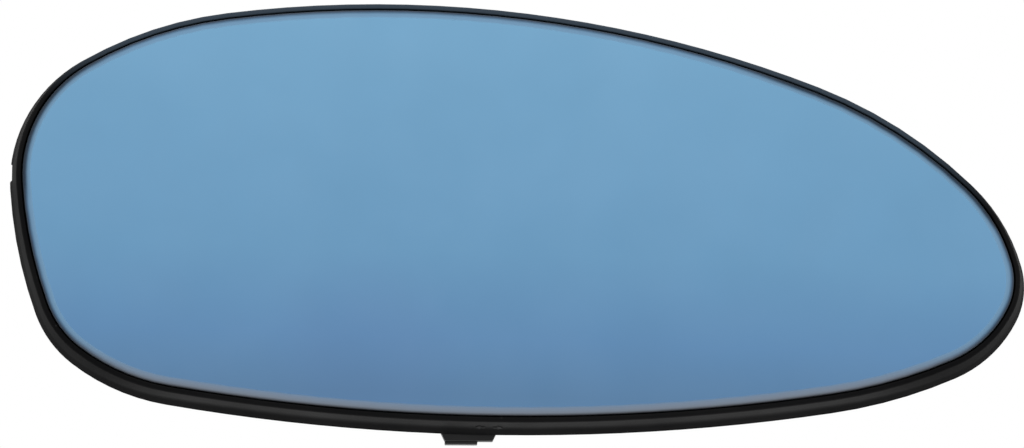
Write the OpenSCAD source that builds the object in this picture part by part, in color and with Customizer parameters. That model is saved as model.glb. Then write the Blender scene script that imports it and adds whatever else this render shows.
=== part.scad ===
// Heated convex mirror glass of a car's door mirror, on its backing plate with a lock ring.
// Millimetres. X runs along the glass, Z is up, and the glass faces -Y.
// The origin is on the axis of the actuator socket, midway along its clear bore.

/* [Glass] */
// Width of the glass
glass_w = 192.7; // [170:0.1:210]
// Height of the glass
glass_h = 80; // [70:0.1:90]
// Thickness of the glass
glass_t = 2; // [1.6:0.1:3]
// Radius of the convex face
convex_r = 1400; // [1200:10:2000]
// Width of the ground edge, seen from the front
ground_w = 0.95; // [0.4:0.05:1.5]
// Depth of the ground edge
ground_d = 0.6; // [0.2:0.05:1.2]
// Distance of the glass's middle from the socket axis, along X
glass_off = 9.5; // [0:0.5:20]

/* [Heater] */
// Thickness of the heating foil
foil_t = 0.3; // [0.2:0.05:0.6]
// Thickness of the adhesive pad
pad_t = 0.6; // [0.4:0.05:1.2]
// How far the foil and the pad stop short of the glass's edge
pad_inset = 3; // [2:0.5:5]
// Distance of each terminal from the socket axis
terminal_x = 60; // [56:0.5:68]
// Width of a terminal blade
blade_w = 6.3; // [4.8:0.1:6.4]
// Thickness of a terminal blade
blade_t = 0.8; // [0.6:0.1:1]
// Length of a terminal blade past its foot
blade_l = 8.5; // [7:0.5:11]

/* [Backing plate] */
// Thickness of the plate
plate_t = 2.2; // [1.8:0.1:3]
// Gap between the glass and the rim
rim_gap = 0.35; // [0.2:0.05:0.6]
// Width of the rim's lip round the glass
lip_w = 1; // [0.8:0.05:1.4]
// Width of the rim at its back edge, where it has flared out
rim_w = 2.35; // [2:0.05:3.2]
// How far the rim's lip lies behind the face of the glass
rim_drop = 0.35; // [0:0.05:0.8]
// Radius of the rim's shoulder
shoulder_r = 0.8; // [0.4:0.1:1.2]
// Depth of the skirt behind the face of the glass
skirt_d = 8.2; // [7.4:0.1:9.5]
// Thickness of the skirt
skirt_wall = 1.2; // [0.9:0.1:1.4]
// Thickness of a rib
rib_w = 1.2; // [0.8:0.1:2]
// Length of the notch in the rim's left end
notch_l = 3.4; // [2:0.1:6]
// Depth of that notch
notch_d = 0.45; // [0.2:0.05:0.8]
// Height of that notch above the socket axis
notch_z = 9.1; // [0:0.1:12]

/* [Actuator socket] */
// Radius of the socket's bore
socket_r = 27; // [25:0.5:29]
// Clear length of the bore
socket_len = 4.5; // [3:0.5:8]
// Width of the step at the bottom of the bore
socket_step = 0.8; // [0.4:0.1:1.2]
// Thickness of the socket's wall
hub_wall = 2.2; // [1.8:0.1:3]
// Radius of the hole in the middle of the socket's floor
floor_hole_r = 8; // [5:0.5:9.5]

/* [Lock ring] */
// Radial width of the ring
ring_w = 5; // [4:0.5:6]
// Thickness of the lever
lever_t = 1.8; // [1.4:0.1:2.5]
// Width of the lever's tip where it leaves the rim
tip_w = 10.3; // [8:0.1:14]
// How far the tip reaches below the glass
tip_drop = 4.1; // [3.4:0.1:7]
// Travel of the ring in degrees
lock_turn = 20; // [12:1:24]
// Reach of a bayonet cam past the step of the socket
cam_reach = 1.5; // [1:0.1:2.5]
// Thickness of a bayonet cam
cam_t = 2.2; // [1.6:0.1:2.6]

/* [Hidden] */

// Clearances: between the bonded layers, round a moving piece, and round a rivet's shank
layer_gap = 0.05;
run_gap = 0.3;
shank_gap = 0.05;
round_fn = 120;
// How far a cutting tool runs past the edges that it makes, as a share of the cut
overcut = 0.6;

// The outline: radius and turn of each arc, anticlockwise seen from the front, at the widths above
first_normal = 15;
arcs = [
    [31.8, 31], [87.1, 23], [238.9, 28], [72.3, 23],  // upper right shoulder and the top
    [24.6, 64], [87.8, 16],                           // upper left corner and the left side
    [19.4, 32], [38.7, 28],                           // lower left corner
    [389.4, 19], [94.1, 15],                          // the bottom
    [22.2, 39], [12.5, 42]                            // lower right corner and the right end
];
// The two arcs whose radii are worked out so that the outline closes
closing = [4, 8];
chord_turn = 4.5;
chord_len = 6;

function turned(i) = first_normal + (i == 0 ? 0 : sum([for (k = [0:i - 1]) arcs[k][1]]));
function sum(v, i = 0) = i == len(v) - 1 ? v[i] : v[i] + sum(v, i + 1);
function unit(a) = [cos(a), sin(a)];
function run(i) = unit(turned(i + 1)) - unit(turned(i));
others = sum([for (i = [0:len(arcs) - 1]) if (i != closing[0] && i != closing[1]) arcs[i][0] * run(i)]);
cross_runs = run(closing[0])[0] * run(closing[1])[1] - run(closing[0])[1] * run(closing[1])[0];
closing_r = [
    (others[1] * run(closing[1])[0] - others[0] * run(closing[1])[1]) / cross_runs,
    (others[0] * run(closing[0])[1] - others[1] * run(closing[0])[0]) / cross_runs
];
function radius(i) = i == closing[0] ? closing_r[0] : i == closing[1] ? closing_r[1] : arcs[i][0];
function corner(i) = i == 0 ? [0, 0] : corner(i - 1) + radius(i - 1) * run(i - 1);
function chords(i) = ceil(max(arcs[i][1] / chord_turn, radius(i) * arcs[i][1] * PI / 180 / chord_len));
raw = [
    for (i = [0:len(arcs) - 1])
        let (start = turned(i), from = corner(i), n = chords(i))
            for (k = [0:n - 1])
                let (a = start + arcs[i][1] * k / n)
                    [from + radius(i) * (unit(a) - unit(start)), a]
];
raw_x = [for (s = raw) s[0][0]];
raw_z = [for (s = raw) s[0][1]];
stretch = [glass_w / (max(raw_x) - min(raw_x)), glass_h / (max(raw_z) - min(raw_z))];
middle = [(max(raw_x) + min(raw_x)) / 2, (max(raw_z) + min(raw_z)) / 2];
// Stations round the glass: place from its middle, and outward direction
stations = [
    for (s = raw)
        let (n = [cos(s[1]) / stretch[0], sin(s[1]) / stretch[1]])
            [[(s[0][0] - middle[0]) * stretch[0], (s[0][1] - middle[1]) * stretch[1]], n / norm(n)]
];
function outline(out, share = 1) = [for (s = stations) [glass_off, 0] + share * s[0] + out * s[1]];
function low_at_axis() = min([for (p = outline(0)) if (abs(p[0]) < tip_w) p[1]]);

// Depths behind the middle of the glass's face
foil_front = glass_t + layer_gap;
foil_back = foil_front + foil_t;
pad_front = foil_back + layer_gap;
pad_back = pad_front + pad_t;
plate_front = pad_back + layer_gap;
plate_back = plate_front + plate_t;
rim_root = plate_front + plate_t / 2;
// How deep a rib, a collar or a wall is rooted in what carries it
rooted = 0.5;
rib_root = plate_back - rooted;
seat_rise = 1;
seat = plate_back + seat_rise;
skirt_lip = 0.6;
// The ribs stop short of the skirt's back edge
rib_short = 0.3;
rib_back = skirt_d - rib_short;

// The face is part of a sphere, and everything behind it follows the same sphere
whole_depth = 30;
ball_fn = 720;
function sag(p) = convex_r - sqrt(convex_r * convex_r - pow(p[0] - glass_off, 2) - p[1] * p[1]);

// The rim: its outer wall flares from the shoulder to the back edge
lip_out = rim_gap + lip_w;
rim_out = rim_gap + rim_w;
lip_flat = 0.15;
round_r = min(shoulder_r, lip_w - lip_flat);
shoulder_steps = 5;
wall_front = rim_drop + round_r;
flare = (rim_out - lip_out) / (skirt_d - skirt_lip - wall_front);
function wall_at(depth) = lip_out + flare * (depth - wall_front);
skirt_in = rim_out - skirt_wall;
// The plate and the ribs end inside the rim's wall
plate_out = (wall_at(plate_front) + wall_at(plate_back) - skirt_wall) / 2;
rib_out = (wall_at(rib_root) + skirt_in) / 2;

// The lock ring and its socket
tip_low = low_at_axis() - tip_drop;
lever_front = skirt_d + sag([0, tip_low]) + run_gap;
ring_front = seat + run_gap;
ring_back = lever_front + lever_t;
ring_in = socket_r + hub_wall + run_gap;
ring_out = ring_in + ring_w;
cam_set = 0.3;
cam_front = ring_front + cam_set;
cam_back = cam_front + cam_t;
cam_in = socket_r - socket_step - cam_reach;
cam_root = ring_in + 1;
cam_chamfer = 0.5;
cam_count = 3;
cam_span = 14;
cam_first = 30;
window_play = 1.5;
window_back = cam_back + run_gap;
bore_front = window_back + rooted;
socket_mouth = bore_front + socket_len;
origin_t = bore_front + socket_len / 2;
hook_angles = [40, 140, 212, 328];
hook_span = 13;
hook_wall = 1.8;
hook_in = ring_out + run_gap;
hook_out = hook_in + hook_wall;
barb_in = ring_out - 1.2;
barb_front = ring_back + run_gap;
barb_t = 1.4;
barb_edge = 0.4;
nub_angle = 90;
nub_h = 0.8;
nub_span = 3;
nub_front = ring_front + 2 * run_gap;
nub_back = ring_back - 0.2;
tongue_w = 1.3;
tongue_in = ring_out + nub_h + run_gap;
tongue_out = tongue_in + tongue_w;
tongue_front = seat + 0.4;
tongue_span = 56;
tongue_foot = 7;
dimple_r = 1.5;
// The raised seat under the ring, the walls' roots in it, and where the ribs begin
seat_out = max(hook_out, tongue_out) + 1;
rib_in = seat_out - rooted;
hub_root = plate_front + sag([-seat_out, 0]) + 0.25;

// The lever
lever_top = ring_in + ring_w / 2;
lever_w = 9;
lever_root_w = lever_w + 4;
lever_root_h = 5;
tip_taper = 0.9;
tip_chamfer = 2;
tip_h = 4.2;
ridge_l = 5.8;
ridge_h = 0.5;
ridge_root = 1.1;

// The terminals
window_w = blade_w + 6.2;
window_h = 11;
collar_w = 1.2;
collar_h = 2.6;
collar_back = plate_back + collar_h;
foot_l = 7.5;
rivet_r = 1.5;
rivet_head_r = 2.4;
rivet_head_t = 0.6;
rivet_bore_r = 0.8;
rivet_floor = 0.3;
blade_lead = 1.2;
blade_hole_r = 0.9;
// Depth at which a terminal's foot lies on the foil
function foot_front(side) =
    foil_back + layer_gap + max(sag([side * (terminal_x + blade_w / 2), foot_l / 2]),
                                sag([side * terminal_x, -foot_l / 2]));

// Ribs: directions from the socket, and the share of the outline that the oval rib follows
ray_angles = [-14, 14, 60, 90, 120, 166, 194, 240, 300];
oval_share = 0.86;

black = [0.07, 0.07, 0.075];
mirror_blue = [0.43, 0.61, 0.76];
copper = [0.72, 0.43, 0.22];
foam = [0.16, 0.16, 0.17];
tin = [0.72, 0.7, 0.64];

// Turns a drawing in X and Z into a slab between two depths
module layer(front, back) {
    translate([0, back - origin_t, 0])
        rotate([90, 0, 0])
            linear_extrude(back - front)
                children();
}

// Turns a profile of radius and depth about the socket's axis, from one angle to another
module swing(from, to) {
    translate([0, -origin_t, 0])
        rotate([-90, 0, 0])
            rotate([0, 0, -to])
                rotate_extrude(angle = to - from, $fn = round_fn)
                    children();
}

// Everything behind the glass's sphere at one depth
module behind(depth) {
    translate([glass_off, depth - origin_t + convex_r, 0])
        sphere(convex_r, $fn = ball_fn);
}

// A drawing in X and Z made a sheet that follows the glass between two depths
module sheet(front, back) {
    difference() {
        intersection() {
            layer(front - 1, whole_depth - 1) children();
            behind(front);
        }
        behind(back);
    }
}

// A closed strip swept round the glass, from a profile of distance outwards and depth, whose
// points run clockwise where depth is drawn upwards. Its ridges can be moved along the edge
module swept(profile, along = 0) {
    n = len(stations);
    m = len(profile);
    points = [
        for (s = stations, p = profile)
            let (at = [glass_off, 0] + s[0] + p[0] * s[1] + along * [-s[1][1], s[1][0]])
                [at[0], p[1] + sag(at) - origin_t, at[1]]
    ];
    faces = [
        for (i = [0:n - 1], j = [0:m - 1])
            let (a = i * m + j, b = i * m + (j + 1) % m, c = ((i + 1) % n) * m + (j + 1) % m,
                 d = ((i + 1) % n) * m + j)
                each [[a, b, c], [a, c, d]]
    ];
    polyhedron(points = points, faces = faces);
}

module wedge(from, to, r) {
    polygon([[0, 0], r * unit(from), r * 1.3 * unit((from + to) / 2), r * unit(to)]);
}

module mirror_glass() {
    color(mirror_blue)
        difference() {
            sheet(0, glass_t) polygon(outline(0));
            swept([
                [-ground_w * (1 + overcut), -ground_d * overcut],
                [ground_w * overcut, ground_d * (1 + overcut)],
                [ground_w * overcut, -ground_d * overcut]
            ], along = 0.3);
        }
}

module heater_foil() {
    color(copper) sheet(foil_front, foil_back) polygon(outline(-pad_inset));
}

module bonding_pad() {
    color(foam)
        difference() {
            sheet(pad_front, pad_back) polygon(outline(-pad_inset));
            layer(0, whole_depth) terminal_windows();
        }
}

module terminal_windows(grow = 0) {
    for (side = [-1, 1])
        translate([side * terminal_x, 0])
            square([window_w + 2 * grow, window_h + 2 * grow], center = true);
}

function rim_profile() = concat(
    [[rim_gap, rim_drop], [rim_gap, rim_root], [wall_at(rim_root) - skirt_wall, rim_root],
     [skirt_in, skirt_d], [rim_out - skirt_lip, skirt_d],
     [rim_out - skirt_lip / 3, skirt_d - skirt_lip / 4], [rim_out, skirt_d - skirt_lip]],
    [for (k = [0:shoulder_steps])
        let (a = 90 * k / shoulder_steps)
            [lip_out - round_r * (1 - cos(a)), rim_drop + round_r * (1 - sin(a))]]
);

// Straight ribs from the socket to the skirt, clear of the windows
module rays() {
    difference() {
        intersection() {
            polygon(outline(rib_out));
            union()
                for (a = ray_angles)
                    rotate(a) translate([rib_in - 1, -rib_w / 2]) square([glass_w, rib_w]);
        }
        circle(rib_in, $fn = round_fn);
        terminal_windows();
    }
}

// A rib that follows the rim at a share of its size, broken where the ring and its seat are
module oval_rib(share) {
    difference() {
        polygon(outline(0, share));
        polygon(outline(-rib_w, share));
        circle(rib_in, $fn = round_fn);
    }
}

module ring_shape(inner, outer) {
    difference() {
        circle(outer, $fn = round_fn);
        circle(inner, $fn = round_fn);
    }
}

// The socket's wall: the clear bore, a step below it, and a window for each cam
module hub() {
    difference() {
        layer(hub_root, socket_mouth) ring_shape(socket_r - socket_step, socket_r + hub_wall);
        layer(bore_front, socket_mouth + 1) circle(socket_r, $fn = round_fn);
        for (k = [0:cam_count - 1])
            let (a = cam_first + k * 360 / cam_count)
                layer(seat, window_back)
                    wedge(a - cam_span / 2 - window_play, a + cam_span / 2 + lock_turn + window_play,
                          1.5 * socket_r);
    }
}

module snap_hook() {
    polygon([
        [hook_in, hub_root], [hook_out, hub_root], [hook_out, barb_front + barb_t / 2],
        [hook_in, barb_front + barb_t], [barb_in + barb_edge, barb_front + barb_t / 2],
        [barb_in, barb_front], [hook_in, barb_front]
    ]);
}

// A springy strip beside the ring, held at one end, with a dimple for each end of the travel
module detent_tongue() {
    difference() {
        swing(nub_angle - tongue_span / 2, nub_angle + tongue_span / 2)
            polygon([[tongue_in, tongue_front], [tongue_out, tongue_front],
                     [tongue_out, ring_back], [tongue_in, ring_back]]);
        for (a = [nub_angle, nub_angle + lock_turn])
            rotate([0, -a, 0])
                layer(seat, ring_back + 1)
                    translate([tongue_in - dimple_r / 2, 0]) circle(dimple_r, $fn = 32);
    }
    swing(nub_angle + tongue_span / 2 - tongue_foot, nub_angle + tongue_span / 2)
        polygon([[tongue_in, hub_root], [tongue_out, hub_root], [tongue_out, ring_back],
                 [tongue_in, ring_back]]);
}

module backing_plate() {
    color(black)
        difference() {
            union() {
                difference() {
                    union() {
                        sheet(plate_front, plate_back) polygon(outline(plate_out));
                        layer(hub_root, seat) ring_shape(socket_r + hub_wall / 2, seat_out);
                        sheet(rib_root, rib_back) rays();
                        sheet(rib_root, rib_back) oval_rib(oval_share);
                        sheet(rib_root, collar_back) terminal_windows(collar_w);
                        hub();
                        for (a = hook_angles)
                            swing(a - hook_span / 2, a + hook_span / 2) snap_hook();
                        detent_tongue();
                    }
                    layer(0, whole_depth) terminal_windows();
                    layer(0, whole_depth) circle(floor_hole_r, $fn = round_fn);
                }
                swept(rim_profile());
            }
            translate([glass_off - glass_w / 2 - rim_out, 0, notch_z])
                cube([2 * notch_d, 2 * whole_depth, notch_l], center = true);
        }
}

module lock_ring() {
    color(black) {
        layer(ring_front, ring_back) ring_shape(ring_in, ring_out);
        for (k = [0:cam_count - 1])
            let (a = cam_first + k * 360 / cam_count)
                swing(a - cam_span / 2, a + cam_span / 2)
                    polygon([[cam_in, cam_front], [cam_root, cam_front], [cam_root, cam_back],
                             [cam_in + cam_chamfer, cam_back], [cam_in, cam_back - cam_chamfer]]);
        swing(nub_angle - nub_span / 2, nub_angle + nub_span / 2)
            polygon([[ring_out - 1, nub_front], [ring_out + nub_h, nub_front],
                     [ring_out + nub_h, nub_back], [ring_out - 1, nub_back]]);
        lever();
    }
}

module lever() {
    layer(lever_front, ring_back)
        polygon([
            [-lever_root_w / 2, -lever_top], [-lever_w / 2, -lever_top - lever_root_h],
            [-lever_w / 2, tip_low + tip_h + 1.5], [-tip_w / 2, tip_low + tip_h - 1],
            [-tip_w / 2, tip_low + tip_chamfer], [-tip_w / 2 + tip_taper, tip_low],
            [tip_w / 2 - tip_taper, tip_low], [tip_w / 2, tip_low + tip_chamfer],
            [tip_w / 2, tip_low + tip_h - 1], [lever_w / 2, tip_low + tip_h + 1.5],
            [lever_w / 2, -lever_top - lever_root_h], [lever_root_w / 2, -lever_top]
        ]);
    layer(lever_front + lever_t / 2, ring_back + 1)
        translate([-tip_w / 2 + tip_taper, tip_low - ridge_h])
            square([ridge_l, ridge_h + ridge_root]);
}

module heater_terminal(side) {
    foot_y = foot_front(side);
    color(tin) {
        layer(foot_y, foot_y + blade_t)
            translate([side * terminal_x, 0])
                difference() {
                    square([blade_w, foot_l], center = true);
                    circle(rivet_r + shank_gap, $fn = 32);
                }
        translate([side * terminal_x, foot_y - origin_t, foot_l / 2 - blade_t])
            blade();
    }
}

module blade() {
    end = blade_t + blade_l;
    linear_extrude(blade_t)
        difference() {
            polygon([
                [-blade_w / 2, 0], [blade_w / 2, 0], [blade_w / 2, end - blade_lead],
                [blade_w / 2 - blade_lead, end], [-blade_w / 2 + blade_lead, end],
                [-blade_w / 2, end - blade_lead]
            ]);
            translate([0, end - blade_w / 2 - blade_hole_r / 2]) circle(blade_hole_r, $fn = 24);
        }
}

module terminal_rivet(side) {
    foot_y = foot_front(side);
    color(tin)
        difference() {
            union() {
                layer(foot_y, foot_y + blade_t + rivet_head_t)
                    translate([side * terminal_x, 0]) circle(rivet_r, $fn = 32);
                layer(foot_y + blade_t, foot_y + blade_t + rivet_head_t)
                    translate([side * terminal_x, 0]) circle(rivet_head_r, $fn = 32);
            }
            layer(foot_y + rivet_floor, whole_depth)
                translate([side * terminal_x, 0]) circle(rivet_bore_r, $fn = 32);
        }
}

mirror_glass();
heater_foil();
bonding_pad();
backing_plate();
lock_ring();
heater_terminal(-1);  // heater_terminal_left
heater_terminal(1);  // heater_terminal_right
terminal_rivet(-1);  // terminal_rivet_left
terminal_rivet(1);  // terminal_rivet_right
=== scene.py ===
import math

import bpy
from mathutils import Matrix, Vector


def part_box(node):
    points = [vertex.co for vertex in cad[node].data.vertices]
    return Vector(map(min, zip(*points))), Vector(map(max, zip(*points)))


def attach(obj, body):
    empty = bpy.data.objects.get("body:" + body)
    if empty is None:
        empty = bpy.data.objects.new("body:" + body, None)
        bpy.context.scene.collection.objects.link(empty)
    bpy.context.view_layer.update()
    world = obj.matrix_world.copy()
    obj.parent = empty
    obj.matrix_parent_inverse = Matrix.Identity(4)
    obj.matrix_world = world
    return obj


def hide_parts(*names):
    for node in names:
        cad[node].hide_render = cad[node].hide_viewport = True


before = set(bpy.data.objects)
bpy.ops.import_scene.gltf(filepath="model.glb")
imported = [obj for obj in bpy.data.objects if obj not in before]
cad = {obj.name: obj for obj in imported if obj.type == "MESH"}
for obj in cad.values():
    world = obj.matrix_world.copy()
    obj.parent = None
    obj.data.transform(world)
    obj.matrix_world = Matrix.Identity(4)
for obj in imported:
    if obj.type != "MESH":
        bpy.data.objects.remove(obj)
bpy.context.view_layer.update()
mm = 0.001
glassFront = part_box("mirror_glass")[0].y      # Y of the foremost spot of the glass
print("packed model loaded with", len(cad), "nodes")

# The camera stands a little below the glass and a little to its left, as in the photo
shot = {
    "azimuth": -1.6,
    "elevation": -11,
    "distance": 1.5,
    "pictureWide": 1024,
    "pictureHigh": 448,
    "pixelsPerMetre": 5158,
    "glassAt": (519.0, 211.0),        # where the middle of the glass shows in the picture
    "glassMiddle": (9.5 * mm, 0),     # where that middle is, in X and Z
    "sensorWide": 36,
    "nearestAndFarthest": (0.05, 100),
}

studio = {
    "floorLevel": -6,
    "floorSize": 60,
    "floorColour": (0.83, 0.83, 0.82, 1),
    "floorRoughness": 0.8,
    "white": (1, 1, 1, 1),
    "ambient": 0.62,
    "backdrop": 1.0,
    # place, size and watts of each soft lamp, all aimed at the glass
    "lamps": {
        "topSoftbox": ((-0.2, -1.3, 1.9), 1.6, 34),
        "lowSoftbox": ((0.3, -1.3, -1.3), 1.2, 9),
        "rearSoftbox": ((-0.5, 1.7, 1.8), 1.4, 40),
    },
}


def deselectAll():
    if bpy.context.mode != "OBJECT":
        bpy.ops.object.mode_set(mode="OBJECT")
    bpy.ops.object.select_all(action="DESELECT")


def makeActive(*things):
    deselectAll()
    for thing in things:
        thing.select_set(True)
    bpy.context.view_layer.objects.active = things[0]


def aimedAtGlass(point):
    return (-Vector(point)).to_track_quat("-Z", "Y").to_euler()


def setInputs(tree, node, inputs):
    # A value goes on its socket, and another node's output is linked to it
    for name, value in inputs.items():
        if isinstance(value, bpy.types.NodeSocket):
            tree.links.new(value, node.inputs[name])
        else:
            node.inputs[name].default_value = value


def addNode(tree, kind, inputs=None, **settings):
    node = tree.nodes.new("ShaderNode" + kind)
    for name, value in settings.items():
        setattr(node, name, value)
    setInputs(tree, node, inputs or {})
    return node


def calc(tree, operation, first, second=0.0, **settings):
    return addNode(tree, "Math", {0: first, 1: second}, operation=operation, **settings).outputs[0]


def rangeOf(tree, value, low, high, outLow=0.0, outHigh=1.0, smooth=False):
    node = addNode(tree, "MapRange", {"Value": value, "From Min": low, "From Max": high,
                                      "To Min": outLow, "To Max": outHigh})
    if smooth:
        node.interpolation_type = "SMOOTHSTEP"
    return node.outputs["Result"]


def blendColours(tree, factor, first, second, blendType="MIX"):
    return addNode(tree, "Mix", {0: factor, 6: first, 7: second}, data_type="RGBA",
                   blend_type=blendType).outputs[2]


def colourRamp(tree, factor, stops):
    ramp = addNode(tree, "ValToRGB", {"Fac": factor})
    points = ramp.color_ramp.elements
    points[0].position, points[0].color = stops[0][0], screen(*stops[0][1])
    points[1].position, points[1].color = stops[-1][0], screen(*stops[-1][1])
    for position, colour in stops[1:-1]:
        points.new(position).color = screen(*colour)
    return ramp.outputs["Color"]


def screen(red, green, blue):
    # A colour as a screen shows it, from 0 to 255, turned into light
    shades = [value / 255 for value in (red, green, blue)]
    return tuple(s / 12.92 if s <= 0.04045 else ((s + 0.055) / 1.055) ** 2.4 for s in shades) + (1,)


def newMaterial(name):
    material = bpy.data.materials.new(name)
    material.use_nodes = True
    tree = material.node_tree
    tree.nodes.clear()
    output = addNode(tree, "OutputMaterial")
    surface = addNode(tree, "BsdfPrincipled")
    tree.links.new(surface.outputs["BSDF"], output.inputs["Surface"])
    return material, tree, surface


def seenOrMirrored(tree):
    path = addNode(tree, "LightPath")
    seen = calc(tree, "MAXIMUM", path.outputs["Is Camera Ray"], path.outputs["Is Glossy Ray"])
    return calc(tree, "MAXIMUM", seen, path.outputs["Is Transmission Ray"])


def paleFloor():
    material, tree, surface = newMaterial("paleFloor")
    setInputs(tree, surface, {"Base Color": studio["floorColour"], "Roughness": studio["floorRoughness"]})
    glow = addNode(tree, "Emission", {"Color": studio["white"], "Strength": studio["backdrop"]})
    mix = addNode(tree, "MixShader", {0: seenOrMirrored(tree), 1: surface.outputs["BSDF"],
                                      2: glow.outputs["Emission"]})
    tree.links.new(mix.outputs["Shader"], tree.nodes["Material Output"].inputs["Surface"])
    return material


def setUpCamera():
    middle = Vector((shot["glassMiddle"][0], glassFront, shot["glassMiddle"][1]))
    turn, lift = math.radians(shot["azimuth"]), math.radians(shot["elevation"])
    back = Vector((math.sin(turn) * math.cos(lift), -math.cos(turn) * math.cos(lift), math.sin(lift)))
    rotation = (-back).to_track_quat("-Z", "Y")
    sideways = (shot["pictureWide"] / 2 - shot["glassAt"][0]) / shot["pixelsPerMetre"]
    upwards = (shot["glassAt"][1] - shot["pictureHigh"] / 2) / shot["pixelsPerMetre"]
    place = middle + rotation @ Vector((sideways, upwards, shot["distance"]))
    bpy.ops.object.camera_add(location=place, rotation=rotation.to_euler())
    camera = bpy.context.object
    camera.name = "photoCamera"
    camera.data.sensor_width = shot["sensorWide"]
    camera.data.lens = shot["pixelsPerMetre"] * shot["distance"] / shot["pictureWide"] * shot["sensorWide"]
    camera.data.clip_start, camera.data.clip_end = shot["nearestAndFarthest"]
    bpy.context.scene.camera = camera


def setUpStudio():
    bpy.ops.mesh.primitive_plane_add(size=studio["floorSize"], location=(0, 0, studio["floorLevel"]))
    floor = bpy.context.object
    floor.name = "studioFloor"
    floor.data.materials.append(paleFloor())
    for name, (place, size, watts) in studio["lamps"].items():
        bpy.ops.object.light_add(type="AREA", location=place, rotation=aimedAtGlass(place))
        lamp = bpy.context.object
        lamp.name = name
        lamp.data.size = size
        lamp.data.energy = watts
        lamp.visible_glossy = False           # the glass mirrors the white room and no lamp
    world = bpy.data.worlds.new("studioAir")
    bpy.context.scene.world = world
    world.use_nodes = True
    tree = world.node_tree
    tree.nodes.clear()
    ambient = addNode(tree, "Background", {"Color": studio["white"], "Strength": studio["ambient"]})
    backdrop = addNode(tree, "Background", {"Color": studio["white"], "Strength": studio["backdrop"]})
    mix = addNode(tree, "MixShader", {0: seenOrMirrored(tree), 1: ambient.outputs["Background"],
                                      2: backdrop.outputs["Background"]})
    addNode(tree, "OutputWorld", {"Surface": mix.outputs["Shader"]})
    print("camera, floor and", len(studio["lamps"]), "soft lamps set up")


# Effects that several finishes share

effects = {
    "grainDetail": (4.0, 0.6),            # octaves of the fine noise and their share
    "pitsPerGrain": 0.6,
    "pitReach": (0.0, 0.45),
    "cloudDetail": 3.0,
    "cloudRange": (0.3, 0.7),
    "speckleRange": (0.35, 0.65),
    "dustFacing": (-0.2, 1.0, 0.25, 1.0),    # from facing down to facing up, and how much settles
    "dustPatch": (60.0, 5.0),
    "dustPatchRange": (0.4, 0.72),
    "specksPerSize": 0.2,
    "speckShare": (0.86, 0.9),
    "speckEdge": (0.16, 0.1),
    "specksOverFilm": 1.8,
    "scuffTurns": ((0.3, 0.5, 0.9), (1.3, -0.4, 2.2)),
    "scuffSqueeze": (1, 22, 22),
    "scuffDetail": 2.0,
    "scuffRange": (0.66, 0.76),
}


def newGroup(name, inputs, outputs):
    group = bpy.data.node_groups.new(name, "ShaderNodeTree")
    for socket, kind in inputs:
        group.interface.new_socket(socket, in_out="INPUT", socket_type="NodeSocket" + kind)
    for socket, kind in outputs:
        group.interface.new_socket(socket, in_out="OUTPUT", socket_type="NodeSocket" + kind)
    return group, group.nodes.new("NodeGroupInput").outputs, group.nodes.new("NodeGroupOutput").inputs


def makeMouldGrain():
    # The spark-eroded grain of a mould, with the cloudy sheen that plastic takes from it
    group, given, out = newGroup(
        "mouldGrain",
        [("Place", "Vector"), ("Grain Size", "Float"), ("Cloud Size", "Float"), ("Pits", "Float")],
        [("Height", "Float"), ("Cloud", "Float"), ("Speckle", "Float")])
    octaves, share = effects["grainDetail"]
    fine = addNode(group, "TexNoise", {"Vector": given["Place"], "Detail": octaves, "Roughness": share,
                                       "Scale": calc(group, "DIVIDE", 1.0, given["Grain Size"])})
    pitScale = calc(group, "DIVIDE", effects["pitsPerGrain"], given["Grain Size"])
    cell = addNode(group, "TexVoronoi", {"Vector": given["Place"], "Scale": pitScale})
    pit = rangeOf(group, cell.outputs["Distance"], *effects["pitReach"])
    pitted = calc(group, "MULTIPLY", pit, given["Pits"])
    group.links.new(calc(group, "ADD", fine.outputs["Fac"], pitted), out["Height"])
    cloud = addNode(group, "TexNoise", {"Vector": given["Place"], "Detail": effects["cloudDetail"],
                                        "Scale": calc(group, "DIVIDE", 1.0, given["Cloud Size"])})
    group.links.new(rangeOf(group, cloud.outputs["Fac"], *effects["cloudRange"]), out["Cloud"])
    group.links.new(rangeOf(group, fine.outputs["Fac"], *effects["speckleRange"]), out["Speckle"])
    return group


def makeFineDust():
    # A thin film of dust: most on what faces up, in patches, with loose specks
    group, given, out = newGroup(
        "fineDust",
        [("Place", "Vector"), ("Facing", "Vector"), ("Amount", "Float"), ("Speck Size", "Float")],
        [("Mask", "Float")])
    facing = addNode(group, "SeparateXYZ", {"Vector": given["Facing"]})
    upwards = rangeOf(group, facing.outputs["Z"], *effects["dustFacing"])
    patchScale, octaves = effects["dustPatch"]
    patch = addNode(group, "TexNoise", {"Vector": given["Place"], "Scale": patchScale, "Detail": octaves})
    patches = rangeOf(group, patch.outputs["Fac"], *effects["dustPatchRange"])
    speckScale = calc(group, "DIVIDE", effects["specksPerSize"], given["Speck Size"])
    speck = addNode(group, "TexVoronoi", {"Vector": given["Place"], "Scale": speckScale})
    drawn = addNode(group, "SeparateColor", {"Color": speck.outputs["Color"]})
    chosen = rangeOf(group, drawn.outputs["Red"], *effects["speckShare"])
    dot = rangeOf(group, speck.outputs["Distance"], *effects["speckEdge"])
    specks = calc(group, "MULTIPLY", dot, chosen)
    film = calc(group, "MULTIPLY", calc(group, "MULTIPLY", patches, upwards), given["Amount"])
    strong = calc(group, "MULTIPLY", given["Amount"], effects["specksOverFilm"])
    speckled = calc(group, "MULTIPLY", specks, strong)
    group.links.new(calc(group, "MAXIMUM", film, speckled), out["Mask"])
    return group


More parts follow.
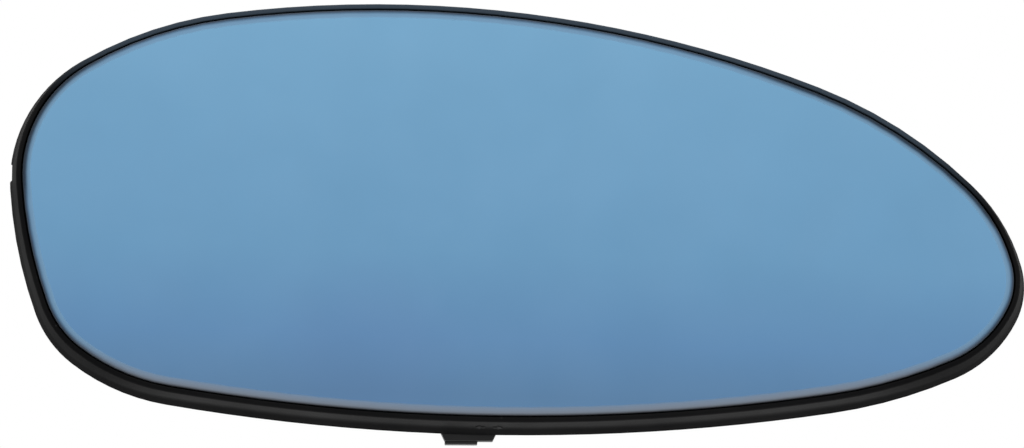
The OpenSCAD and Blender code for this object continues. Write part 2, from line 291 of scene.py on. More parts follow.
def makeHandScuffs():
    # Fine crossed scratches that handling leaves
    group, given, out = newGroup(
        "handScuffs", [("Place", "Vector"), ("Length", "Float"), ("Amount", "Float")], [("Mask", "Float")])
    lines = []
    for turn in effects["scuffTurns"]:
        turned = addNode(group, "Mapping", {"Vector": given["Place"], "Rotation": turn,
                                            "Scale": effects["scuffSqueeze"]})
        scratch = addNode(group, "TexNoise", {"Vector": turned.outputs["Vector"],
                                              "Scale": calc(group, "DIVIDE", 1.0, given["Length"]),
                                              "Detail": effects["scuffDetail"]})
        lines.append(rangeOf(group, scratch.outputs["Fac"], *effects["scuffRange"]))
    both = calc(group, "MAXIMUM", lines[0], lines[1])
    group.links.new(calc(group, "MULTIPLY", both, given["Amount"]), out["Mask"])
    return group


shared = {"grain": makeMouldGrain(), "dust": makeFineDust(), "scuffs": makeHandScuffs()}


def useGroup(tree, name, inputs):
    return addNode(tree, "Group", inputs, node_tree=shared[name]).outputs


def grainAt(tree, place, size, cloud, pits):
    return useGroup(tree, "grain", {"Place": place, "Grain Size": size, "Cloud Size": cloud, "Pits": pits})


def bumpFrom(tree, height, relief, strength):
    bump = addNode(tree, "Bump", {"Height": height, "Distance": relief, "Strength": strength})
    return bump.outputs["Normal"]


# Modelling by hand: what the pieces below are shaped with

squarely = 0.9      # a face looks along an axis when its normal is over this on it


def openForEdit(piece, selectMode="FACE"):
    makeActive(piece)
    bpy.ops.object.mode_set(mode="EDIT")
    bpy.ops.mesh.select_mode(type=selectMode)
    bpy.ops.mesh.select_all(action="DESELECT")


def pick(piece, kind, wanted):
    # Selects the faces, edges or vertices of the mesh in edit mode that pass a test
    bpy.ops.mesh.select_all(action="DESELECT")
    bpy.ops.object.mode_set(mode="OBJECT")
    picked = 0
    for part in getattr(piece.data, kind):
        part.select = wanted(part)
        picked += part.select
    bpy.ops.object.mode_set(mode="EDIT")
    return picked


def mergedCopy(nodeName, pieceName, weld=0.004 * mm, flatWithin=0.3):
    # A CAD node is loose triangles, so its copy is welded and its flat faces made whole
    piece = bpy.data.objects.new(pieceName, cad[nodeName].data.copy())
    piece.data.name = pieceName
    bpy.context.scene.collection.objects.link(piece)
    openForEdit(piece)
    bpy.ops.mesh.select_all(action="SELECT")
    bpy.ops.mesh.customdata_custom_splitnormals_clear()
    bpy.ops.mesh.remove_doubles(threshold=weld)
    bpy.ops.mesh.dissolve_limited(angle_limit=math.radians(flatWithin))
    deselectAll()
    return piece


def breakEdges(piece, width, sharperThan=40, steps=2):
    makeActive(piece)
    bevel = piece.modifiers.new("brokenEdges", "BEVEL")
    bevel.width = width
    bevel.segments = steps
    bevel.limit_method = "ANGLE"
    bevel.angle_limit = math.radians(sharperThan)
    bevel.use_clamp_overlap = False
    bpy.ops.object.modifier_apply(modifier=bevel.name)


def finishPiece(piece, material, body, slot, *replaced, smoothBelow=35):
    makeActive(piece)
    bpy.ops.object.transform_apply(location=True, rotation=True, scale=True)
    bpy.ops.object.shade_smooth_by_angle(angle=math.radians(smoothBelow))
    piece.data.materials.clear()
    piece.data.materials.append(material)
    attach(piece, body)
    if replaced:
        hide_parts(*replaced)
    deselectAll()
    print(piece.name, "done with", len(piece.data.polygons), "faces")


# The glass: convex, with an edge ground round like a pencil

glass = {
    "faceRadius": 1400 * mm,
    "thickness": 2 * mm,
    "middle": (9.5 * mm, 0),
    "edgeWide": 2.0 * mm,             # width of the ground edge, from the front
    "edgeDeep": 0.6 * mm,
    "edgeSteps": 7,
    "backChamfer": 0.15 * mm,
    "rings": 12,
    "straightBelow": 0.4,             # degrees of bend at an outline's corner
    "facetError": 0.012 * mm,         # how far a flat facet lies below the true face
    "smoothBelow": 30,
    # height on the glass and the blue there: the glass's own blue, lighter higher up as a painted
    # reflection of the bright room above
    "blueAndReflection": [(-36 * mm, (93, 129, 165)), (-25 * mm, (99, 140, 180)), (-8 * mm, (108, 154, 190)),
             (36 * mm, (119, 167, 201))],
    "tilt": 0.03,                     # how much the painted reflection climbs towards the pointed end
    "unevenTint": 0.02,
    "unevenNoise": (55.0, 3.0, (0.3, 0.7)),       # scale, octaves and the range that counts
    # a violet painted reflection low on the glass: its colour, where it is centred, how far it reaches and
    # how strong it is
    "reflectedViolet": (96, 122, 168),
    "violetAt": (-20 * mm, -29 * mm),
    "violetReach": (24 * mm, 6 * mm),
    "violetShare": 0.15,
    # share of the way out over the ground edge and the colour there: below, above and at the sides, pale
    # below as painted light from beneath and dark above and at the sides as painted shade
    "lowEdgeLit": [(0.0, (98, 126, 156)), (0.5, (116, 131, 150)), (0.78, (116, 127, 141)),
                (1.0, (70, 72, 77))],
    "highEdgeShaded": [(0.0, (110, 151, 183)), (0.55, (101, 137, 167)), (0.74, (68, 98, 124)),
                 (0.87, (40, 58, 80)), (1.0, (68, 78, 88))],
    "sideEdgeShaded": [(0.0, (110, 151, 183)), (0.45, (97, 132, 160)), (0.72, (28, 50, 70)),
                 (0.88, (10, 28, 44)), (1.0, (44, 54, 64))],
    "lowFrom": (-21 * mm, -36 * mm),
    "sideMiddle": -8 * mm,
    "sideFrom": (56 * mm, 72 * mm),      # to either side of that X, and above the next heights
    "sideAbove": (-1 * mm, 4 * mm),
    "mirrorEnds": (0.04, 0.3),           # share of the way out where the mirror gives way to grinding
    "faceRoughness": 0.025,
    "groundRoughness": 0.42,
    "groundGrain": (0.12 * mm, 4 * mm, 0.4),
    "groundSpeckle": (0.08, (150, 160, 170)),
    "groundRelief": (0.02 * mm, 0.6),
    "dust": 0.035,
    "dustSpeck": 0.12 * mm,
    "dustColour": (196, 198, 200),
    "specular": 0.15,
}


def sagAt(x, z):
    across = (x - glass["middle"][0]) ** 2 + (z - glass["middle"][1]) ** 2
    return glass["faceRadius"] - math.sqrt(glass["faceRadius"] ** 2 - across)


def straightCorners(piece):
    # The corners of a lone face that lie on a straight stretch of its outline
    bpy.ops.object.mode_set(mode="OBJECT")
    corners = list(piece.data.polygons[0].vertices)
    bends = {}
    for before, here, after in zip(corners[-1:] + corners, corners, corners[1:] + corners[:1]):
        spots = [piece.data.vertices[index].co for index in (before, here, after)]
        bends[here] = (spots[1] - spots[0]).angle(spots[2] - spots[1])
    bpy.ops.object.mode_set(mode="EDIT")
    return {corner for corner, bend in bends.items() if bend < math.radians(glass["straightBelow"])}


def ringsToMiddle(count):
    # Rows of faces from the selected face's outline in to a closed middle
    centre = (glass["middle"][0], 0, glass["middle"][1])
    for left in range(count, 1, -1):
        share = (left - 1) / left
        bpy.ops.mesh.extrude_region_move()
        bpy.ops.transform.resize(value=(share, 1, share), center_override=centre)
    bpy.ops.mesh.poke()


def makeGlass():
    piece = mergedCopy("mirror_glass", "convexGlass")
    thick, chamfer = glass["thickness"], glass["backChamfer"]
    deep, wide = glass["edgeDeep"], glass["edgeWide"]
    openForEdit(piece)
    pick(piece, "polygons", lambda face: face.normal.y < squarely)     # only the back of the glass is kept
    bpy.ops.mesh.delete(type="FACE")
    bpy.ops.mesh.select_all(action="SELECT")
    bpy.ops.mesh.dissolve_faces()
    bpy.ops.mesh.select_all(action="SELECT")
    bpy.ops.transform.resize(value=(1, 0, 1), center_override=(0, 0, 0))
    straight = straightCorners(piece)
    bpy.ops.mesh.select_mode(type="VERT")
    pick(piece, "vertices", lambda corner: corner.index in straight)
    bpy.ops.mesh.dissolve_verts()
    bpy.ops.mesh.select_mode(type="FACE")
    bpy.ops.mesh.select_all(action="SELECT")
    bpy.ops.transform.translate(value=(0, thick - chamfer, 0))
    bpy.ops.mesh.extrude_region_move(TRANSFORM_OT_translate={"value": (0, deep + chamfer - thick, 0)})
    bpy.ops.mesh.select_all(action="SELECT")
    bpy.ops.mesh.normals_make_consistent(inside=False)
    pick(piece, "polygons", lambda face: face.normal.y < -squarely)
    turns = [math.radians(90 * step / glass["edgeSteps"]) for step in range(glass["edgeSteps"] + 1)]
    for inner, outer in zip(turns, turns[1:]):
        bpy.ops.mesh.inset(thickness=wide * (math.cos(inner) - math.cos(outer)),
                           depth=deep * (math.sin(outer) - math.sin(inner)))
    ringsToMiddle(glass["rings"])
    pick(piece, "polygons", lambda face: face.normal.y > squarely)
    bpy.ops.mesh.inset(thickness=chamfer, depth=chamfer)
    ringsToMiddle(glass["rings"])
    bpy.ops.mesh.select_all(action="SELECT")
    bpy.ops.mesh.normals_make_consistent(inside=False)
    bpy.ops.object.mode_set(mode="OBJECT")
    for vertex in piece.data.vertices:                            # the flat glass is bent to its sphere
        vertex.co.y += glassFront + sagAt(vertex.co.x, vertex.co.z)
    finishPiece(piece, blueMirror(), "mirror", "mirror_glass", "mirror_glass",
                smoothBelow=glass["smoothBelow"])


def depthBelowFace(tree, place):
    # How far a spot lies behind the sphere of the glass's face
    centre = (glass["middle"][0], glassFront + glass["faceRadius"], glass["middle"][1])
    reach = addNode(tree, "VectorMath", {0: place, 1: centre}, operation="DISTANCE").outputs["Value"]
    return calc(tree, "SUBTRACT", glass["faceRadius"], reach)


# The glass's own blue with a painted reflection on it: lighter higher up, with a violet patch low down, and
# a little uneven
def blueAndReflectionOfFace(tree, place, tilted):
    lowest, highest = glass["blueAndReflection"][0][0], glass["blueAndReflection"][-1][0]
    stops = [((level - lowest) / (highest - lowest), colour) for level, colour in glass["blueAndReflection"]]
    blueAndReflection = colourRamp(tree, rangeOf(tree, tilted, lowest, highest), stops)
    spot = addNode(tree, "CombineXYZ", {"X": glass["violetAt"][0], "Z": glass["violetAt"][1]})
    flat = addNode(tree, "VectorMath", {0: place, 1: (1, 0, 1)}, operation="MULTIPLY")
    away = addNode(tree, "VectorMath", {0: flat.outputs["Vector"], 1: spot.outputs["Vector"]},
                   operation="DISTANCE")
    nearSpot = rangeOf(tree, away.outputs["Value"], *glass["violetReach"], 0.0, glass["violetShare"],
                       smooth=True)
    blueAndReflection = blendColours(tree, nearSpot, blueAndReflection, screen(*glass["reflectedViolet"]))
    scale, octaves, counted = glass["unevenNoise"]
    uneven = addNode(tree, "TexNoise", {"Vector": place, "Scale": scale, "Detail": octaves})
    more = glass["unevenTint"]
    lightness = rangeOf(tree, uneven.outputs["Fac"], *counted, 1 - more, 1 + more)
    grey = addNode(tree, "CombineColor", {"Red": lightness, "Green": lightness, "Blue": lightness})
    return blendColours(tree, 1.0, blueAndReflection, grey.outputs["Color"], "MULTIPLY")


# The ground edge with painted light: pale where it lies low, and dark as painted shade above and at the
# sides
def litAndShadedEdge(tree, across, at, tilted, speckle):
    low = rangeOf(tree, at.outputs["Z"], *glass["lowFrom"], smooth=True)
    aside = calc(tree, "ABSOLUTE", calc(tree, "SUBTRACT", at.outputs["X"], glass["sideMiddle"]))
    sideways = rangeOf(tree, aside, *glass["sideFrom"], smooth=True)
    above = rangeOf(tree, tilted, *glass["sideAbove"], smooth=True)
    upper = colourRamp(tree, across, glass["highEdgeShaded"])
    side = colourRamp(tree, across, glass["sideEdgeShaded"])
    edge = blendColours(tree, calc(tree, "MULTIPLY", sideways, above), upper, side)
    edge = blendColours(tree, low, edge, colourRamp(tree, across, glass["lowEdgeLit"]))
    share, pale = glass["groundSpeckle"]
    return blendColours(tree, rangeOf(tree, speckle, 0, 1, 0.0, share), edge, screen(*pale))


def blueMirror():
    material, tree, surface = newMaterial("blueMirror")
    coordinates = addNode(tree, "TexCoord")
    place, facing = coordinates.outputs["Object"], coordinates.outputs["Normal"]
    at = addNode(tree, "SeparateXYZ", {"Vector": place})
    tilted = calc(tree, "ADD", at.outputs["Z"], calc(tree, "MULTIPLY", at.outputs["X"], glass["tilt"]))
    sunk = rangeOf(tree, depthBelowFace(tree, place), glass["facetError"], glass["edgeDeep"])
    # a pencil edge is an arc, so the way out over it is the root of depth times what is left
    across = calc(tree, "SQRT", calc(tree, "MULTIPLY", sunk, calc(tree, "SUBTRACT", 2.0, sunk)))
    ground = rangeOf(tree, across, *glass["mirrorEnds"])
    grinding = grainAt(tree, place, *glass["groundGrain"])
    dust = useGroup(tree, "dust", {"Place": place, "Facing": facing, "Amount": glass["dust"],
                                   "Speck Size": glass["dustSpeck"]})["Mask"]
    colour = blendColours(tree, ground, blueAndReflectionOfFace(tree, place, tilted),
                          litAndShadedEdge(tree, across, at, tilted, grinding["Speckle"]))
    mirrored = calc(tree, "SUBTRACT", 1.0, ground)
    rough = rangeOf(tree, ground, 0, 1, glass["faceRoughness"], glass["groundRoughness"])
    relief = calc(tree, "MULTIPLY", grinding["Height"], ground)
    setInputs(tree, surface, {
        "Base Color": blendColours(tree, dust, colour, screen(*glass["dustColour"])),
        "Metallic": calc(tree, "SUBTRACT", mirrored, dust, use_clamp=True),
        "Roughness": calc(tree, "ADD", rough, dust),
        "Specular IOR Level": glass["specular"],
        "Normal": bumpFrom(tree, relief, *glass["groundRelief"]),
    })
    return material


# Moulded plastic: what rim, plate, ring and arrows have in common

moulded = {
    "dustColour": (120, 118, 114),
    "dustSpeck": 0.25 * mm,
    "speckle": 0.1,
    "scuffLong": 9 * mm,
    "scuffShine": 0.3,                # how much smoother a scuff is
    "bump": 0.7,
}


def mouldedPlastic(name, look):
    material, tree, surface = newMaterial(name)
    coordinates = addNode(tree, "TexCoord")
    place, facing = coordinates.outputs["Object"], coordinates.outputs["Normal"]
    grain = grainAt(tree, place, look["grain"], look["cloud"], look["pits"])
    dust = useGroup(tree, "dust", {"Place": place, "Facing": facing, "Amount": look["dust"],
                                   "Speck Size": moulded["dustSpeck"]})["Mask"]
    scuffs = useGroup(tree, "scuffs", {"Place": place, "Length": moulded["scuffLong"],
                                       "Amount": look["scuffs"]})["Mask"]
    worn = screen(*look["worn"])
    speckled = rangeOf(tree, grain["Speckle"], 0, 1, 0.0, moulded["speckle"])
    colour = blendColours(tree, speckled, screen(*look["colour"]), worn)
    colour = blendColours(tree, scuffs, colour, worn)
    sheen = rangeOf(tree, grain["Cloud"], 0, 1, *look["roughness"])
    if "paintedSheen" in look:
        at = addNode(tree, "SeparateXYZ", {"Vector": place})
        depth = depthBelowFace(tree, place)
        colour = paintSheenOver(tree, colour, at, depth, *look["paintedSheen"])
        sheen = calc(tree, "ADD", sheen, mattOf(tree, at, depth, look["matt"], look["sideMatt"]))
    colour = blendColours(tree, dust, colour, screen(*moulded["dustColour"]))
    rough = calc(tree, "SUBTRACT", sheen, calc(tree, "MULTIPLY", scuffs, moulded["scuffShine"]))
    setInputs(tree, surface, {
        "Base Color": colour,
        "Roughness": calc(tree, "ADD", rough, dust),
        "Specular IOR Level": look["specular"],
        "Normal": bumpFrom(tree, grain["Height"], look["relief"], moulded["bump"]),
    })
    return material


# A pale painted sheen on the front of the upper rim: a painted reflection of the light above
def paintSheenOver(tree, colour, at, depth, start, full, tilt, depths, pale):
    height = calc(tree, "ADD", at.outputs["Z"], calc(tree, "MULTIPLY", at.outputs["X"], tilt))
    upper = rangeOf(tree, height, start, full, smooth=True)
    front = rangeOf(tree, depth, *depths)
    return blendColours(tree, calc(tree, "MULTIPLY", upper, front), colour, screen(*pale))


def mattOf(tree, at, depth, byDepth, byHeight):
    start, full, more = byDepth
    behind = rangeOf(tree, depth, start, full, 0.0, more, smooth=True)
    start, full, more = byHeight
    aside = rangeOf(tree, at.outputs["Z"], start, full, 0.0, more, smooth=True)
    return calc(tree, "MAXIMUM", behind, aside)


# The backing plate with its rim

backingPlate = {
    "rim": {
        # the plastic's own black, darkened on the rim as painted shade
        "colour": (6, 6, 7), "worn": (24, 25, 27), "specular": 0.07,
        "grain": 0.28 * mm, "cloud": 13 * mm, "pits": 0.5, "relief": 0.03 * mm,
        "roughness": (0.44, 0.52), "dust": 0.04, "scuffs": 0.08,
        "matt": (2.6 * mm, 5.2 * mm, 0.34),       # depths where the wall turns matt, and how much
        "sideMatt": (-38 * mm, -30 * mm, 0.24),   # heights where it is matt all over, and how much
        # heights where a pale painted sheen comes on the front of the upper rim, a painted reflection of
        # the light above; tilt, depths and colour
        "paintedSheen": (12 * mm, 28 * mm, 0.12, (3.2 * mm, 2.0 * mm), (50, 60, 70)),
    },
    "back": {
        # the same plastic's black, lightened on the back as painted light
        "colour": (27, 27, 28), "worn": (58, 58, 60), "specular": 0.36,
        "grain": 0.42 * mm, "cloud": 11 * mm, "pits": 0.9, "relief": 0.06 * mm,
        "roughness": (0.5, 0.66), "dust": 0.06, "scuffs": 0.12,
    },
    "broken": 0.1 * mm,
    "weld": 0.02 * mm,
    "smoothBelow": 32,
    "rimFront": 4 * mm,               # behind the glass's face
    "rimBack": 8.5 * mm,
    "rimFacing": 0.5,                 # faces that point back more than this are the plate's
    "justOff": 0.05 * mm,             # where a look outwards from a face starts
}


def onRim(piece, face):
    # The rim's own faces: all near the glass's face, and those further back that look freely outwards
    depth = face.center.y - glassFront - sagAt(face.center.x, face.center.z)
    if depth < backingPlate["rimFront"]:
        return True
    outwards = Vector((face.center.x - glass["middle"][0], 0, face.center.z)).dot(face.normal)
    if depth > backingPlate["rimBack"] or outwards < 0 or face.normal.y > backingPlate["rimFacing"]:
        return False
    start = face.center + face.normal * backingPlate["justOff"]
    return not piece.ray_cast(start, face.normal)[0]


def makePlate():
    piece = mergedCopy("backing_plate", "rimAndPlate", weld=backingPlate["weld"])
    breakEdges(piece, backingPlate["broken"])
    finishPiece(piece, rimPlastic, "mirror", "backing_plate", "backing_plate",
                smoothBelow=backingPlate["smoothBelow"])
    piece.data.materials.append(backPlastic)
    for face in piece.data.polygons:
        face.material_index = 0 if onRim(piece, face) else 1
    return piece


# The lock ring with its lever

lockRing = {
    "look": {
        "colour": (7, 7, 8), "worn": (34, 34, 36), "specular": 0.26,
        "grain": 0.5 * mm, "cloud": 7 * mm, "pits": 0.2, "relief": 0.015 * mm,
        "roughness": (0.3, 0.42), "dust": 0.03, "scuffs": 0.25,
    },
    "broken": 0.14 * mm,
    "tipBelow": -40.5 * mm,           # the lever's tip is all below this Z
    "tipUp": 0.45 * mm,               # it stands a little nearer to the rim
    "tipWider": 1.09,
}


def makeRing():
    piece = mergedCopy("lock_ring", "bayonetRing")
    openForEdit(piece, "VERT")
    pick(piece, "vertices", lambda corner: corner.co.z < lockRing["tipBelow"])
    bpy.ops.transform.translate(value=(0, 0, lockRing["tipUp"]))
    bpy.ops.transform.resize(value=(lockRing["tipWider"], 1, 1), center_override=(0, 0, 0))
    deselectAll()
    breakEdges(piece, lockRing["broken"])
    ringPlastic = mouldedPlastic("ringPlastic", lockRing["look"])
    finishPiece(piece, ringPlastic, "lock_ring", "lock_ring", "lock_ring")


# Small marks that the mould leaves on the plate

arrows = {
    "places": [(2.6 * mm, -1), (5.0 * mm, 1)],        # X on the rim beside the lever, and the way it points
    "depth": -7.8 * mm,                               # Y on the rim's wall
    "stem": (0.9 * mm, 0.6 * mm, 0.4 * mm),
    "headWide": 3.2,
    "headLong": 1.0 * mm,
    # the rim's plastic, lightened on the marks as a painted highlight
    "colour": (13, 13, 14),
    "specular": 0.14,
    "tipLeft": 0.1,
    "proud": 0.09 * mm,
    "broken": 0.04 * mm,
    "probeBelow": 10 * mm,            # the way to the rim's wall is felt for from here
}

ejectors = {
    "places": [(46, 22), (46, -23), (-42, 21), (-41, -22), (79, 3), (-75, 1)],     # X and Z, mm
    "radius": 2.4 * mm,
    "lip": 0.25 * mm,
    "proud": 0.12 * mm,
    "sunk": 0.4 * mm,
    "dish": 0.8,                      # depth of the dish inside the lip, as a share of proud
    "broken": 0.05 * mm,
    "corners": 48,
    "probeBehind": 20 * mm,
}

gate = {
    "at": (0, 15),                    # X and Z, mm
    "radius": 1.5 * mm,
    "high": 0.7 * mm,
    "waist": 0.72,
    "corners": 32,
    # how far in and how far up the top steps, as shares of the radius and the height
    "steps": [(0.25, 0.3), (0.12, -0.15)],
    "broken": 0.05 * mm,
    "sharperThan": 30,
    "standsOut": 0.3,                 # share of its height
    "probeBehind": 20 * mm,
}


def turnedOnto(piece, spot, outwards, along):
    # Stands a piece on the plate: its X along the given way and its Z out of the surface
    side = outwards.cross(along).normalized()
    along = side.cross(outwards).normalized()
    piece.matrix_world = Matrix.Translation(spot) @ Matrix((along, side, outwards)).transposed().to_4x4()
    makeActive(piece)
    bpy.ops.object.transform_apply(location=True, rotation=True, scale=True)


def landOn(plate, start, direction):
    found, spot, outwards, index = plate.ray_cast(Vector(start), Vector(direction))
    if not found:
        raise RuntimeError("a mould mark misses the plate")
    return spot, outwards


def raisedArrow(plate, across, pointing):
    bpy.ops.mesh.primitive_cube_add(size=1)
    arrow = bpy.context.object
    arrow.scale = arrows["stem"]
    bpy.ops.object.transform_apply(scale=True)
    openForEdit(arrow)
    pick(arrow, "polygons", lambda face: face.normal.x > squarely)
    neck = (arrows["stem"][0] / 2, 0, 0)
    bpy.ops.mesh.extrude_region_move()
    bpy.ops.transform.resize(value=(1, arrows["headWide"], 1), center_override=neck)
    bpy.ops.mesh.extrude_region_move(TRANSFORM_OT_translate={"value": (arrows["headLong"], 0, 0)})
    bpy.ops.transform.resize(value=(1, arrows["tipLeft"], 1), center_override=neck)
    deselectAll()
    breakEdges(arrow, arrows["broken"])
    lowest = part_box("backing_plate")[0].z - arrows["probeBelow"]
    spot, outwards = landOn(plate, (across, arrows["depth"], lowest), (0, 0, 1))
    middle = spot + outwards * (arrows["proud"] - arrows["stem"][2] / 2)
    turnedOnto(arrow, middle, outwards, Vector((pointing, 0, 0)))
    return arrow


def ejectorDisc(plate, x, z):
    spot, outwards = landOn(plate, (x * mm, ejectors["probeBehind"], z * mm), (0, -1, 0))
    high = ejectors["proud"] + ejectors["sunk"]
    bpy.ops.mesh.primitive_cylinder_add(vertices=ejectors["corners"], radius=ejectors["radius"], depth=high)
    disc = bpy.context.object
    openForEdit(disc)
    pick(disc, "polygons", lambda face: face.normal.z > squarely)
    bpy.ops.mesh.inset(thickness=ejectors["lip"], depth=-ejectors["proud"] * ejectors["dish"])
    deselectAll()
    breakEdges(disc, ejectors["broken"])
    turnedOnto(disc, spot + outwards * (ejectors["proud"] - high / 2), outwards, Vector((1, 0, 0)))
    return disc


def gateStub(plate):
    x, z = gate["at"]
    spot, outwards = landOn(plate, (x * mm, gate["probeBehind"], z * mm), (0, -1, 0))
    bpy.ops.mesh.primitive_cylinder_add(vertices=gate["corners"], radius=gate["radius"], depth=gate["high"])
    stub = bpy.context.object
    openForEdit(stub)
    pick(stub, "polygons", lambda face: face.normal.z > squarely)
    bpy.ops.transform.resize(value=(gate["waist"], gate["waist"], 1))
    for inwards, upwards in gate["steps"]:
        bpy.ops.mesh.inset(thickness=gate["radius"] * inwards, depth=gate["high"] * upwards)
    deselectAll()
    breakEdges(stub, gate["broken"], sharperThan=gate["sharperThan"])
    turnedOnto(stub, spot + outwards * gate["high"] * gate["standsOut"], outwards, Vector((1, 0, 0)))
    return stub


def joinAs(name, parts):
    makeActive(*parts)
    if len(parts) > 1:
        bpy.ops.object.join()
    joined = bpy.context.view_layer.objects.active
    joined.name = joined.data.name = name
    return joined


def markPlate(plate):
    # The marks are the rim's plastic, lightened as a painted highlight on their relief
    look = {**backingPlate["rim"], "colour": arrows["colour"], "specular": arrows["specular"]}
    arrowPlastic = mouldedPlastic("arrowPlastic", look)
    marks = [
        ("turnArrows", arrowPlastic, [raisedArrow(plate, x, way) for x, way in arrows["places"]]),
        ("ejectorMarks", backPlastic, [ejectorDisc(plate, x, z) for x, z in ejectors["places"]]),
        ("gateMark", backPlastic, [gateStub(plate)]),
    ]
    for name, material, parts in marks:
        finishPiece(joinAs(name, parts), material, "mirror", "backing_plate")


# The heater's foam

foam = {
    "colour": (34, 34, 36),
    # the colour in the hollows between the cells, darker as painted shade
    "dark": (14, 14, 15),
    "cell": 0.45 * mm,
    "dome": 0.7,
    "grain": (0.9 * mm, 6 * mm, 0.5),
    "relief": (0.12 * mm, 0.8),
    "roughness": (0.8, 0.95),
}


def foamPad():
    material, tree, surface = newMaterial("closedCellFoam")
    place = addNode(tree, "TexCoord").outputs["Object"]
    cells = addNode(tree, "TexVoronoi", {"Vector": place, "Scale": 1 / foam["cell"]})
    grain = grainAt(tree, place, *foam["grain"])
    # each cell lighter on its dome and darker where it meets the next: painted shade in the hollows
    dome = rangeOf(tree, cells.outputs["Distance"], 0.0, foam["dome"], 1.0, 0.0)
    setInputs(tree, surface, {
        "Base Color": blendColours(tree, dome, screen(*foam["dark"]), screen(*foam["colour"])),
        "Normal": bumpFrom(tree, dome, *foam["relief"]),
        "Roughness": rangeOf(tree, grain["Cloud"], 0, 1, *foam["roughness"]),
    })
    return material


# The heater's film with its printed tracks

film = {
    "colour": (168, 92, 38),
    "dark": (132, 66, 26),
    "track": (56, 50, 48),
    "silver": (186, 186, 180),
    "grain": (0.7 * mm, 5 * mm, 0.2),
    "relief": (0.03 * mm, 0.8),
    "roughness": (0.24, 0.42),
    "coat": 0.5,
    "padMetal": 0.8,
    "trackPitch": 2.6 * mm,
    "trackShare": 0.42,
    "trackSoft": 0.02,
    "wave": (0.8 * mm, 24 * mm),       # how far the tracks weave, and over what length
    "terminalX": 60 * mm,
    "padRadius": (4.4 * mm, 4.1 * mm),
}


def printedTracks(tree, at):
    # Rows of printed conductor that weave gently from side to side
    reach, length = film["wave"]
    turn = calc(tree, "SINE", calc(tree, "DIVIDE", at.outputs["X"], length / math.tau))
    level = calc(tree, "ADD", at.outputs["Z"], calc(tree, "MULTIPLY", turn, reach))
    row = calc(tree, "FRACT", calc(tree, "DIVIDE", level, film["trackPitch"]))
    fromMiddle = calc(tree, "ABSOLUTE", calc(tree, "SUBTRACT", row, 0.5))
    half, soft = film["trackShare"] / 2, film["trackSoft"]
    return rangeOf(tree, fromMiddle, half + soft, half - soft)


def printedFilm():
    material, tree, surface = newMaterial("printedHeaterFilm")
    place = addNode(tree, "TexCoord").outputs["Object"]
    at = addNode(tree, "SeparateXYZ", {"Vector": place})
    track = printedTracks(tree, at)
    sideways = calc(tree, "SUBTRACT", calc(tree, "ABSOLUTE", at.outputs["X"]), film["terminalX"])
    flat = addNode(tree, "CombineXYZ", {"X": sideways, "Z": at.outputs["Z"]})
    away = addNode(tree, "VectorMath", {0: flat.outputs["Vector"]}, operation="LENGTH").outputs["Value"]
    pad = rangeOf(tree, away, *film["padRadius"])
    grain = grainAt(tree, place, *film["grain"])
    amber = blendColours(tree, grain["Cloud"], screen(*film["colour"]), screen(*film["dark"]))
    colour = blendColours(tree, track, amber, screen(*film["track"]))
    height = calc(tree, "MAXIMUM", track, pad)
    setInputs(tree, surface, {
        "Base Color": blendColours(tree, pad, colour, screen(*film["silver"])),
        "Normal": bumpFrom(tree, height, *film["relief"]),
        "Metallic": calc(tree, "MULTIPLY", pad, film["padMetal"]),
        "Roughness": rangeOf(tree, grain["Cloud"], 0, 1, *film["roughness"]),
        "Coat Weight": rangeOf(tree, height, 0, 1, film["coat"], 0.0),
    })
    return material


# The spade terminals, and the eyelets that hold them to the film

metal = {
    "grain": (0.35 * mm, 1.6 * mm, 0.3),
    "scuffLong": 3 * mm,
    "scuffs": 0.6,
    "relief": (0.012 * mm, 0.6),
    "roughness": (0.2, 0.38),
}

terminal = {
    "plated": (205, 201, 186),
    "bare": (196, 164, 96),
    "bareShare": 0.25,                # how much of the metal below shows through
    "outerBend": 0.65 * mm,
    "innerBend": 0.25 * mm,
    "bendSteps": 5,
    "broken": 0.06 * mm,
    "thick": 0.8 * mm,
    "onBend": 0.05 * mm,
}

eyelet = {
    "plated": (206, 170, 98),
    "bare": (158, 120, 60),
    "bareShare": 0.6,
    "broken": 0.12 * mm,
}


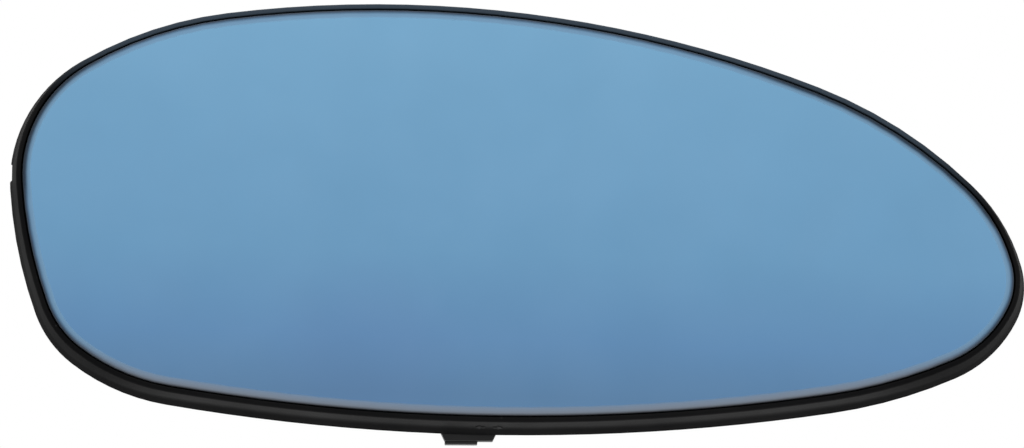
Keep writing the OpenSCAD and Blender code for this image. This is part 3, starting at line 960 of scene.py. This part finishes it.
def wornMetal(name, look):
    material, tree, surface = newMaterial(name)
    place = addNode(tree, "TexCoord").outputs["Object"]
    grain = grainAt(tree, place, *metal["grain"])
    scuffs = useGroup(tree, "scuffs", {"Place": place, "Length": metal["scuffLong"],
                                       "Amount": metal["scuffs"]})["Mask"]
    worn = calc(tree, "MAXIMUM", calc(tree, "MULTIPLY", grain["Cloud"], look["bareShare"]),
                calc(tree, "MULTIPLY", scuffs, look["bareShare"]))
    setInputs(tree, surface, {
        "Base Color": blendColours(tree, worn, screen(*look["plated"]), screen(*look["bare"])),
        "Metallic": 1.0,
        "Roughness": rangeOf(tree, grain["Cloud"], 0, 1, *metal["roughness"]),
        "Normal": bumpFrom(tree, calc(tree, "SUBTRACT", grain["Height"], scuffs), *metal["relief"]),
    })
    return material


def makeTerminal(side, material):
    piece = mergedCopy("heater_terminal_" + side, "bladeTerminal_" + side)
    lowCorner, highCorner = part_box("heater_terminal_" + side)
    thick, near = terminal["thick"], terminal["onBend"]
    bends = [(lowCorner.y, highCorner.z, terminal["outerBend"]),
             (lowCorner.y + thick, highCorner.z - thick, terminal["innerBend"])]
    for depth, level, width in bends:
        def onBend(edge):
            ends = [piece.data.vertices[index].co for index in edge.vertices]
            return all(abs(end.y - depth) < near and abs(end.z - level) < near for end in ends)
        openForEdit(piece, "EDGE")
        pick(piece, "edges", onBend)
        bpy.ops.mesh.bevel(offset=width, segments=terminal["bendSteps"], clamp_overlap=True)
        deselectAll()
    breakEdges(piece, terminal["broken"])
    finishPiece(piece, material, "mirror", "terminal", "heater_terminal_" + side)


def makeEyelet(side, material):
    piece = mergedCopy("terminal_rivet_" + side, "eyelet_" + side)
    breakEdges(piece, eyelet["broken"])
    finishPiece(piece, material, "mirror", "rivet", "terminal_rivet_" + side)


def dress(node, material):
    node.data.materials.clear()
    node.data.materials.append(material)


# The whole unit, from the glass in front to the heater's film

setUpCamera()
setUpStudio()
rimPlastic = mouldedPlastic("rimPlastic", backingPlate["rim"])
backPlastic = mouldedPlastic("backPlastic", backingPlate["back"])
makeGlass()
plate = makePlate()
markPlate(plate)
makeRing()
tinned = wornMetal("tinnedBrass", terminal)
brass = wornMetal("brassEyelet", eyelet)
for side in ("left", "right"):
    makeTerminal(side, tinned)
    makeEyelet(side, brass)
dress(cad["bonding_pad"], foamPad())
dress(cad["heater_foil"], printedFilm())
print("foam and heater film dressed")

bpy.context.scene.view_settings.view_transform = "Standard"
